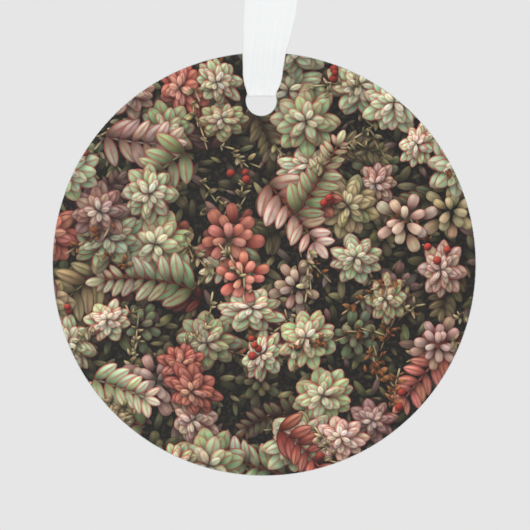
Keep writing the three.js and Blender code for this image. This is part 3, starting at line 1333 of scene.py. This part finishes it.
            layer.data.foreach_set(part, full.astype(np.float32).reshape(-1))
        dark = np.ones(len(corners), np.float32)
        dark[:drawn] = self.shadows(leaves, where, who, light)
        layer = mesh.attributes.new("leaf_shade", "FLOAT", "CORNER")
        layer.data.foreach_set("value", dark)
        self.bake_map(piece, corners, drawn)

    def bake_map(self, piece: bpy.types.Object, corners: Ints, drawn: int) -> None:
        """Lays the drawn face flat over the whole map, and the plain inner face and rims small in a corner.

        Args:
            piece: the mesh object.
            corners: the vertex number of each face corner.
            drawn: how many corners belong to the drawn face.
        """
        co = np.zeros(len(piece.data.vertices) * 3, np.float32)
        piece.data.vertices.foreach_get("co", co)
        place = co.reshape(-1, 3)[corners] / MM
        mirror = np.array([1.0 if self.face is Face.FRONT else -1.0, 1.0])
        flat = (place[:, [0, 2]] - np.array([0, self.layout.disc_z])) * mirror / self.radius
        uv = flat * self.map_fill + 0.5
        outer = np.abs(place[:, 1]) > (self.layout.film_face + self.inner_face) / 2
        spread = np.where(outer, self.rim_spread, 1.0)[:, None]
        hub = self.hole * mirror / self.radius
        by_hole = np.linalg.norm(flat - hub, axis=1) < 2 * self.hole_radius / self.radius
        small = np.where(by_hole[:, None], hub + (flat - hub) * (2 - spread), flat * spread)
        uv[drawn:] = (small * self.small_scale + self.small_place)[drawn:]
        set_uv(piece, BAKE_MAP, uv)

    def dress(self, piece: bpy.types.Object, ink: bpy.types.Material) -> None:
        """Gives the film its ink and its place in the frame.

        Args:
            piece: the film.
            ink: its finish.
        """
        piece.data.materials.append(ink)
        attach(piece, BODY)
        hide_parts(f"{self.face.name.lower()}_print")


@dataclass
class ClearDisc:
    """The acrylic disc with its hanging hole: polished edges, and white ink on both flat faces."""

    layout: Layout
    around: int = 256
    face_steps: int = 10
    arc_steps: int = 5
    edge_steps: int = 6

    def profile(self) -> Floats:
        """The closed profile from the hole's edge over the front face, the rim and the back face.

        A point is given by how far it lies from the hole's circle to the rim's circle, 0 to 1, by its
        offset from that circle, and by its place through the thickness. Each sharp edge is a quarter
        circle of the edge break's radius.

        Returns:
            One row of share, offset and y each.
        """
        r, h = self.layout.edge_break, self.layout.disc_half
        arc = np.linspace(0, np.pi / 2, self.arc_steps)
        share = np.linspace(0, 1, self.face_steps)
        inset = np.where(share > 0.5, -r, r) * np.abs(2 * share - 1)
        front = np.stack([share, inset, np.full_like(share, -h)], 1)
        outer1 = np.stack([np.ones_like(arc), r * (np.sin(arc) - 1), -h + r * (1 - np.cos(arc))], 1)[1:]
        through = np.linspace(-h + r, h - r, self.edge_steps)[1:]
        rim = np.stack([np.ones_like(through), np.zeros_like(through), through], 1)
        half = np.concatenate([front, outer1, rim])
        back = front[::-1] * np.array([1, 1, -1])
        outer2 = outer1[::-1] * np.array([1, 1, -1])
        hole1 = np.stack([np.zeros_like(arc), r * (1 - np.sin(arc)), h - r * (1 - np.cos(arc))], 1)[1:]
        wall = np.stack([np.zeros_like(through), np.zeros_like(through), through[::-1]], 1)[1:]
        hole2 = hole1[::-1] * np.array([1, 1, -1])
        return np.concatenate([half, outer2[1:], back, hole1, wall, hole2])

    def build(self) -> bpy.types.Object:
        """Builds the disc: at angle a each profile point lies between the two circles.

        Returns:
            The mesh object, its flat faces marked with the second material.
        """
        lay = self.layout
        profile = self.profile()
        angle = np.arange(self.around) * TURN / self.around
        share, offset, y = (profile[:, i : i + 1] for i in range(3))
        hole_x, hole_z = lay.hole_x, lay.hole_z - lay.disc_z
        radius = lay.hole_radius + (lay.disc_radius - lay.hole_radius) * share + offset
        x = hole_x * (1 - share) + radius * np.cos(angle)
        z = hole_z * (1 - share) + radius * np.sin(angle) + lay.disc_z
        points = np.stack([x, np.broadcast_to(y, x.shape), z], -1).reshape(-1, 3)
        faces = grid_faces(len(profile), self.around, True, True)
        [faces] = outward(points, [faces])
        piece = make_piece("clear_disc", points, [faces])
        flat = (np.abs(points[faces][:, :, 1]) > lay.disc_half - 1e-6).all(1)
        piece.data.polygons.foreach_set("material_index", flat.astype(np.int32))
        row, column = faces // self.around, faces % self.around
        last = column.max(1, keepdims=True) == self.around - 1
        wrapped = np.where((column == 0) & last, self.around, column)
        length = np.concatenate([[0], np.cumsum(np.hypot(*np.diff(profile[:, 1:], axis=0).T))])
        uv = np.stack([wrapped * TURN * lay.disc_radius / self.around, length[row]], -1)
        set_uv(piece, "edge_mm", uv.reshape(-1, 2))
        return piece

    def dress(self, piece: bpy.types.Object, acrylic: bpy.types.Material, base: bpy.types.Material) -> None:
        """Gives the disc its two finishes and its place in the frame.

        Args:
            piece: the disc.
            acrylic: the finish of its edges.
            base: the finish of its two flat faces.
        """
        piece.data.materials.append(acrylic)
        piece.data.materials.append(base)
        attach(piece, BODY)
        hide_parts("acrylic_disc")


def strand_rows() -> Floats:
    """The strand's course from the hole to the knot.

    Returns:
        One row each: up above the hole's centre, out from the disc's middle, the left and right edges,
        and how far the cloth is gathered.
    """
    return np.array(
        [
            [0.6, 0.0, -2.8, 1.78, 1.0],
            [0.6, 2.2, -2.98, 1.96, 1.0],
            [0.7, 2.66, -2.99, 2.02, 1.0],
            [1.0, 2.94, -2.99, 2.06, 1.0],
            [1.7, 3.12, -3.14, 2.24, 0.92],
            [2.7, 3.14, -3.45, 2.64, 0.8],
            [4.0, 3.0, -3.69, 3.04, 0.5],
            [6.5, 2.7, -3.77, 3.42, 0.22],
            [9.0, 2.42, -3.8, 3.84, 0.06],
            [12.5, 2.44, -3.8, 4.86, 0.0],
            [18.0, 2.75, -3.58, 5.9, 0.0],
            [24.0, 3.2, -3.46, 6.44, 0.0],
            [38.0, 3.95, -3.8, 6.2, 0.0],
            [58.0, 4.1, -4.6, 5.4, 0.0],
            [72.0, 3.4, -5.0, 5.0, 0.0],
            [78.5, 2.95, -4.55, 4.55, 0.0],
            [82.3, 2.35, -3.9, 3.9, 0.05],
            [84.3, 1.6, -3.35, 3.35, 0.1],
            [85.6, 1.0, -2.9, 2.9, 0.1],
            [89.0, 0.85, -2.3, 2.3, 0.1],
        ]
    )


def tail_rows() -> Floats:
    """A loose end's course from the knot to its cut.

    Returns:
        One row each: x, y, z, half width, turn about Z in degrees, and how far the cloth is gathered.
    """
    return np.array(
        [
            [0.4, -0.6, 4.5, 1.8, 0, 0.4],
            [1.0, -1.2, 8.2, 2.1, 6, 0.3],
            [2.3, -2.2, 12.0, 3.4, 14, 0.1],
            [4.4, -3.6, 16.5, 4.7, 20, 0.0],
            [7.2, -5.4, 22.0, 5.0, 24, 0.0],
            [10.4, -7.8, 27.0, 5.0, 26, 0.0],
        ]
    )


# The small pleats across the cloth: each wave's rate per millimetre, its start, and its share of the depth.
PLEAT_WAVES = ((2.1, 0.6, 0.5), (3.7, -0.4, 0.35), (6.1, 1.1, 0.15))


@dataclass
class SatinRibbon:
    """A 10 mm satin ribbon, cut to about 270 mm: one loop through the hole, a knot, and two loose ends."""

    layout: Layout
    width: float = 10.0
    thickness: float = 0.22
    cut_length: float = 270.0
    bend: float = 0.9
    columns: int = 49
    steps_per_row: int = 10
    fine_steps: int = 121
    bend_tries: int = 140
    bend_place: float = 2.2
    back_rise: float = 0.05
    unfolded: float = 0.18
    low_fold: tuple[float, float] = (26.0, 8.5)  # where it begins and is full, above the hole
    high_fold: tuple[float, float] = (58.0, 74.0)
    hole_mouth: tuple[float, float] = (1.0, 0.62)
    low_pleats: tuple[float, float] = (22.0, 5.0)
    high_pleats: tuple[float, float] = (75.0, 84.0)
    low_pleat: float = 0.035
    high_pleat: float = 0.18
    least_pleat: float = 0.012
    tail_fold: tuple[float, float] = (17.0, 10.0)  # above the loop's top
    tail_pleats: tuple[float, float] = (20.0, 8.0)
    tail_pleat: float = 0.16
    least_tail_pleat: float = 0.015
    woven_edge: float = 0.985
    edge_thin: float = 0.45
    cut_slope: float = 0.6
    cut_reserve: float = 6.0
    knot_radius: float = 2.35
    knot_height: float = 4.7
    knot_strand: float = 1.0
    knot_steps: int = 260
    knot_columns: int = 56
    pleat_rate: float = 3.5
    crease: float = 0.72
    knot_flat: float = 0.85
    knot_wide: float = 1.45
    knot_cloth: float = 4.2
    strand: Floats = field(default_factory=strand_rows)
    tail: Floats = field(default_factory=tail_rows)

    def tucked(self, half: Floats, turn: Floats, ripple: Floats) -> tuple[Floats, Floats]:
        """The ribbon's cross-section, folded to a given width: flat in the middle, with both edges
        turned back behind it.

        From the middle outwards the cloth's angle is 0 as far as a, then turns smoothly over the bend
        to its full angle. Sideways place and depth are the running integrals of the angle's cosine and
        sine. a is the one for which the widest point is the wanted half width.

        Args:
            half: the wanted half width of each row.
            turn: the full angle of each row, in radians.
            ripple: the depth of the small pleats of each row.

        Returns:
            Sideways place and depth of each row's points, from one edge to the other.
        """
        edge = self.width / 2
        w = np.linspace(0, edge, self.fine_steps)
        options = np.linspace(0.6, edge, self.bend_tries)
        bent = smooth(0, 1, (w[None, :] - options[:, None]) / self.bend)
        angle = turn[:, None, None] * bent[None]
        reach = running(np.cos(angle), w[1]).max(2)
        best = np.abs(reach - half[:, None]).argmin(1)
        chosen = turn[:, None] * bent[best]
        side, depth = running(np.cos(chosen), w[1]), running(np.sin(chosen), w[1])
        side *= (half / reach[np.arange(len(half)), best])[:, None]
        u = np.linspace(-edge, edge, self.columns)
        position = np.abs(u) / w[1]
        low = np.minimum(position.astype(int), self.fine_steps - 2)
        rest = position - low
        x = np.sign(u) * (side[:, low] * (1 - rest) + side[:, low + 1] * rest)
        d = depth[:, low] * (1 - rest) + depth[:, low + 1] * rest
        pleats = sum(np.sin(u * rate + start) * share for rate, start, share in PLEAT_WAVES)
        return x, d + ripple[:, None] * (pleats + 1) * (1 - bent[best][:, low] * 0.7)

    def strip(
        self, path: Floats, half: Floats, yaw: Floats, turn: Floats, ripple: Floats
    ) -> tuple[Floats, Floats]:
        """Carries the cross-section along a path.

        Args:
            path: points of the ribbon's outer side.
            half: half width at each.
            yaw: turn about Z at each.
            turn: how far the edges fold back at each.
            ripple: the depth of the small pleats at each.

        Returns:
            The grid of the cloth's middle surface, and the running length along the path.
        """
        tangent = np.gradient(path, axis=0)
        tangent /= np.linalg.norm(tangent, axis=1, keepdims=True)
        lateral = np.stack([np.cos(yaw), np.sin(yaw), np.zeros_like(yaw)], 1)
        lateral -= tangent * np.einsum("ij,ij->i", lateral, tangent)[:, None]
        lateral /= np.linalg.norm(lateral, axis=1, keepdims=True)
        inward = np.cross(lateral, tangent)
        x, d = self.tucked(half, turn, ripple)
        d = d + self.thickness / 2
        grid = path[:, None] + lateral[:, None] * x[..., None] + inward[:, None] * d[..., None]
        length = np.concatenate([[0], np.cumsum(np.linalg.norm(np.diff(path, axis=0), axis=1))])
        return grid, length

    def shell(self, grid: Floats) -> tuple[Floats, Ints]:
        """Gives a cloth grid its thickness: both sides lie half the thickness off along the grid's
        normal, thinner at the woven edges, and the ends are closed.

        Args:
            grid: rows by columns of points.

        Returns:
            Points, side after side in each row, and quads.
        """
        rows, columns = grid.shape[:2]
        along, across = np.gradient(grid, axis=0), np.gradient(grid, axis=1)
        normal = np.cross(along, across)
        normal /= np.linalg.norm(normal, axis=2, keepdims=True)
        u = np.abs(np.linspace(-1, 1, columns))
        half = self.thickness / 2 * np.where(u > self.woven_edge, self.edge_thin, 1.0)
        offset = normal * half[None, :, None]
        ring = np.concatenate([grid + offset, (grid - offset)[:, ::-1]], 1)
        body = grid_faces(rows, 2 * columns, False, True)
        near = np.arange(columns - 1)
        far = 2 * columns - 1 - near
        start = np.stack([near, near + 1, far - 1, far], 1)
        end = start[:, ::-1] + (rows - 1) * 2 * columns
        faces = np.concatenate([body, start, end])
        return ring.reshape(-1, 3), faces

    def cloth_map(self, grid: Floats, length: Floats) -> Floats:
        """The cloth's own map, in millimetres.

        Args:
            grid: rows by columns of points.
            length: the running length of each row.

        Returns:
            Across and along for each point of the shell.
        """
        u = np.linspace(-self.width / 2, self.width / 2, grid.shape[1])
        across = np.concatenate([u, u[::-1]])
        return np.stack(np.broadcast_arrays(across[None, :], length[:, None]), -1).reshape(-1, 2)

    def loop(self) -> tuple[Floats, Floats]:
        """The loop's cloth: down the front, through the hole and up the back.

        Its edges are folded back near the hole and again towards the knot, and lie flat between. In the
        mouth of the hole they open a little. The small pleats fade out above the hole and come back,
        deeper, below the knot. Each change is the cubic ease between the two heights that its field gives.

        Returns:
            The grid and the running length.
        """
        rows = self.strand
        side = np.concatenate([-np.ones(len(rows)), np.ones(len(rows) - 1)])
        order = np.concatenate([rows[::-1], rows[1:]])
        up, out, left, right, gather = order.T
        knots = np.stack(
            [(left + right) / 2, side * out, self.layout.hole_z + up, (right - left) / 2, up, gather], 1
        )
        knots[:, 2] += self.back_rise * (side * out + self.bend_place) * smooth(7.0, 0.6, up)
        curve = curve_through(knots, self.steps_per_row)
        half, height, gather = curve[:, 3], curve[:, 4], np.clip(curve[:, 5], 0, 1)
        low, high = smooth(*self.low_fold, height), smooth(*self.high_fold, height)
        low *= 1 - self.unfolded * smooth(*self.hole_mouth, height)
        turn = np.pi * np.maximum(np.maximum(low, high), 0.04)
        ripple = self.low_pleat * smooth(*self.low_pleats, height)
        ripple = ripple + self.high_pleat * smooth(*self.high_pleats, height) + self.least_pleat
        return self.strip(curve[:, :3], half, np.zeros(len(curve)), turn, ripple)

    def loose_end(self, side: int) -> tuple[Floats, Floats]:
        """One loose end, cut on a slant: each column stops at its own length.

        Args:
            side: -1 for the end that leans to the front and right, 1 for the other.

        Returns:
            The grid and the running length.
        """
        rows = self.tail * np.array([-side, -side, 1, 1, 1, 1])
        curve = curve_through(rows, self.steps_per_row * 2)
        half = curve[:, 3]
        rise = curve[:, 2]
        turn = np.pi * smooth(*self.tail_fold, rise)
        ripple = self.tail_pleat * smooth(*self.tail_pleats, rise) + self.least_tail_pleat
        yaw = np.radians(curve[:, 4])
        grid, length = self.strip(curve[:, :3], half, yaw, np.maximum(turn, 0.1), ripple)
        u = np.linspace(-1, 1, self.columns)
        stop = length[-1] + u * self.width / 2 * self.cut_slope
        share = length / length[-1]
        onward = (grid[-1:] - grid[-2:-1]) / (length[-1] - length[-2])
        beyond = np.concatenate([grid, grid[-1:] + onward * self.cut_reserve])
        reach = np.concatenate([length, [length[-1] + self.cut_reserve]])
        wanted = share[:, None] * stop[None, :]
        cut = np.stack(
            [
                np.stack([np.interp(wanted[:, j], reach, beyond[:, j, k]) for j in range(self.columns)], 1)
                for k in range(3)
            ],
            -1,
        )
        return cut, length

    def knot_tube(self) -> tuple[Floats, Ints, Floats]:
        """The knot: the folded ribbon as a pleated, slightly flattened bundle along a three-lobed knot.

        The path is r (2 + cos(3u/2)) / 2 round the middle at angle u, with depth r sin(3u/2) / 2, for u
        over two turns. The bundle's radius is its own times a pleat term that falls to a crease several
        times round it, and a slow swelling along it.

        Returns:
            Points, quads, and the cloth map of the points.
        """
        u = np.arange(self.knot_steps) * 4 * np.pi / self.knot_steps
        swing = 1.5 * u
        ring = self.knot_radius * (2 + np.cos(swing)) / 2
        path = np.stack([ring * np.cos(u), -self.knot_radius * np.sin(swing) / 2, ring * np.sin(u)], 1)
        tangent = np.roll(path, -1, 0) - np.roll(path, 1, 0)
        tangent /= np.linalg.norm(tangent, axis=1, keepdims=True)
        side = np.cross(tangent, path)
        side /= np.linalg.norm(side, axis=1, keepdims=True)
        normal = np.cross(side, tangent)
        v = np.arange(self.knot_columns) * 2 * np.pi / self.knot_columns
        phase = v[None, :] * self.pleat_rate + 0.5 * np.sin(u)[:, None] + 0.25 * np.sin(1.5 * u + 1)[:, None]
        pleat = self.crease + (1.02 - self.crease) * np.abs(np.cos(phase)) ** 0.6
        swell = 1 + 0.06 * np.sin(2.5 * u + 0.7) + 0.05 * np.sin(4 * u)
        radius = self.knot_strand * pleat * swell[:, None]
        points = (
            path[:, None]
            + normal[:, None] * (radius * np.cos(v) * self.knot_flat)[..., None]
            + side[:, None] * (radius * np.sin(v) * self.knot_wide)[..., None]
        )
        points = points + np.array([0, 0, self.knot_height])
        length = np.concatenate([[0], np.cumsum(np.linalg.norm(np.diff(path, axis=0), axis=1))])
        cloth = np.stack(np.broadcast_arrays((v / np.pi - 1)[None, :] * self.knot_cloth, length[:, None]), -1)
        faces = grid_faces(self.knot_steps, self.knot_columns, True, True)
        return points.reshape(-1, 3), faces, cloth.reshape(-1, 2)

    def build(self) -> tuple[bpy.types.Object, bpy.types.Object]:
        """Builds the ribbon and its knot.

        Returns:
            The ribbon, which is the loop with both loose ends, and the knot.
        """
        all_points: list[Floats] = []
        all_faces: list[Ints] = []
        all_maps: list[Floats] = []
        count = 0
        for grid, length in (self.loop(), self.loose_end(-1), self.loose_end(1)):
            points, faces = self.shell(grid)
            [faces] = outward(points, [faces])
            all_points.append(points)
            all_faces.append(faces + count)
            all_maps.append(self.cloth_map(grid, length))
            count += len(points)
        faces = np.concatenate(all_faces)
        ribbon = make_piece("satin_ribbon", np.concatenate(all_points), [faces])
        set_uv(ribbon, "cloth_mm", np.concatenate(all_maps)[faces.reshape(-1)])
        points, faces, cloth = self.knot_tube()
        [faces] = outward(points, [faces])
        knot = make_piece("ribbon_knot", points, [faces])
        set_uv(knot, "cloth_mm", cloth[faces.reshape(-1)])
        return ribbon, knot

    def dress(self, ribbon: bpy.types.Object, knot: bpy.types.Object, disc: bpy.types.Object) -> None:
        """Gives ribbon and knot their satin and their place in the frame.

        Args:
            ribbon: the loop with both loose ends.
            knot: the knot.
            disc: the disc that the ribbon carries; not used.
        """
        satin = WhiteSatin().material(self.width / 2)
        for piece in (ribbon, knot):
            piece.data.materials.append(satin)
            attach(piece, BODY)
        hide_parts("ribbon")


class Softbox(Enum):
    """The soft lights: place in metres from the ornament's centre, and power in watts."""

    KEY = ((-0.26, -0.62, 0.16), 0.66)
    LOW = ((0.10, -0.46, -0.48), 1.0)
    SIDE = ((0.70, -0.10, 0.05), 0.6)
    BACK = ((0.25, 0.70, 0.25), 1.0)


@dataclass
class Studio:
    """Pale surroundings, soft lights and the camera straight in front."""

    layout: Layout
    backdrop: str = "#e6e6e6"
    distance: float = 0.60
    frame_width: float = 0.0950
    sensor: float = 36.0
    softbox_side: float = 0.45
    aim_x: float = 0.143
    aim_drop: float = 0.161
    floor_z: float = -0.85
    floor_radius: float = 1.8
    floor_sides: int = 96

    def build(self) -> None:
        """Sets up the surroundings, the floor, the lights and the camera."""
        scene = bpy.context.scene
        scene.view_settings.view_transform = "Standard"
        self.surroundings(scene)
        self.floor()
        for box in Softbox:
            self.soft_light(scene, box)
        self.camera(scene)

    def surroundings(self, scene: bpy.types.Scene) -> None:
        """Lights the room evenly with the pale backdrop colour.

        Args:
            scene: the scene.
        """
        world = bpy.data.worlds.new("pale_room")
        world.use_nodes = True
        world.node_tree.nodes.clear()
        glow = add_node(world.node_tree, "Background", {"Color": rgba(self.backdrop), "Strength": 1.0})
        add_node(world.node_tree, "OutputWorld", {"Surface": glow})
        scene.world = world

    def floor(self) -> None:
        """Lays a round sheet of paper well below the ornament: a thin closed disc of rings."""
        rings = np.array([0.02, 0.3, 0.6, 0.9, 1.0, 1.0, 0.9, 0.6, 0.3, 0.02]) * self.floor_radius / MM
        heights = np.array([0, 0, 0, 0, -0.2, -1.8, -2, -2, -2, -2]) + self.floor_z / MM
        angle = np.arange(self.floor_sides) * TURN / self.floor_sides
        x, y = rings[:, None] * np.cos(angle), rings[:, None] * np.sin(angle)
        points = np.stack([x, y, np.broadcast_to(heights[:, None], x.shape)], -1).reshape(-1, 3)
        faces = grid_faces(len(rings), self.floor_sides, True, True)
        [faces] = outward(points, [faces])
        floor = make_piece("paper_floor", points, [faces], False)
        floor.data.materials.append(PalePaper().material())

    def soft_light(self, scene: bpy.types.Scene, box: Softbox) -> None:
        """Hangs a square soft light that faces the ornament.

        Args:
            scene: the scene.
            box: which light.
        """
        place, watts = Vector(box.value[0]), box.value[1]
        name = f"{box.name.lower()}_softbox"
        lamp = bpy.data.lights.new(name, "AREA")
        lamp.shape = "SQUARE"
        lamp.size = self.softbox_side
        lamp.energy = watts
        holder = bpy.data.objects.new(name, lamp)
        holder.location = Vector((0, 0, self.layout.disc_z * MM)) + place
        holder.rotation_mode = "QUATERNION"
        holder.rotation_quaternion = (-place).to_track_quat("-Z", "Y")
        scene.collection.objects.link(holder)

    def camera(self, scene: bpy.types.Scene) -> None:
        """Puts the camera straight in front, so that the frame is 95 mm wide at the disc's face.

        Args:
            scene: the scene.
        """
        lens = bpy.data.cameras.new("front_camera")
        lens.sensor_width = self.sensor
        lens.lens = self.sensor * self.distance / self.frame_width
        lens.clip_start, lens.clip_end = 0.01, 20.0
        holder = bpy.data.objects.new("front_camera", lens)
        face = self.layout.film_face * MM
        holder.location = (self.aim_x * MM, -self.distance - face, (self.layout.disc_z - self.aim_drop) * MM)
        holder.rotation_euler = (math.pi / 2, 0, 0)
        scene.collection.objects.link(holder)
        scene.camera = holder


def report(piece: bpy.types.Object) -> None:
    """Logs a finished piece and its size.

    Args:
        piece: the finished object.
    """
    piece.data.calc_loop_triangles()
    size = [round(side / MM, 2) for side in piece.dimensions]
    LOG.info("%s: %d triangles, %s mm", piece.name, len(piece.data.loop_triangles), size)


def main() -> None:
    """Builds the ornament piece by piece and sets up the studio."""
    layout = Layout()
    disc_maker = ClearDisc(layout)
    disc = disc_maker.build()
    disc_maker.dress(disc, PolishedCastAcrylic().material(), WhiteInkBase().material())
    report(disc)

    drawing = LeafDrawing()
    leaves = drawing.leaves()
    LOG.info("drawing: %d leaves", len(leaves.base))
    ink = PrintedInk().material()
    for face in Face:
        film_maker = PrintedFilm(layout, face)
        film = film_maker.build(leaves, drawing.sun)
        film_maker.dress(film, ink)
        report(film)

    ribbon_maker = SatinRibbon(layout)
    ribbon, knot = ribbon_maker.build()
    ribbon_maker.dress(ribbon, knot, disc)
    report(ribbon)
    report(knot)

    Studio(layout).build()


if __name__ == "__main__":
    logging.basicConfig(level=logging.INFO, format="%(message)s")
    main()
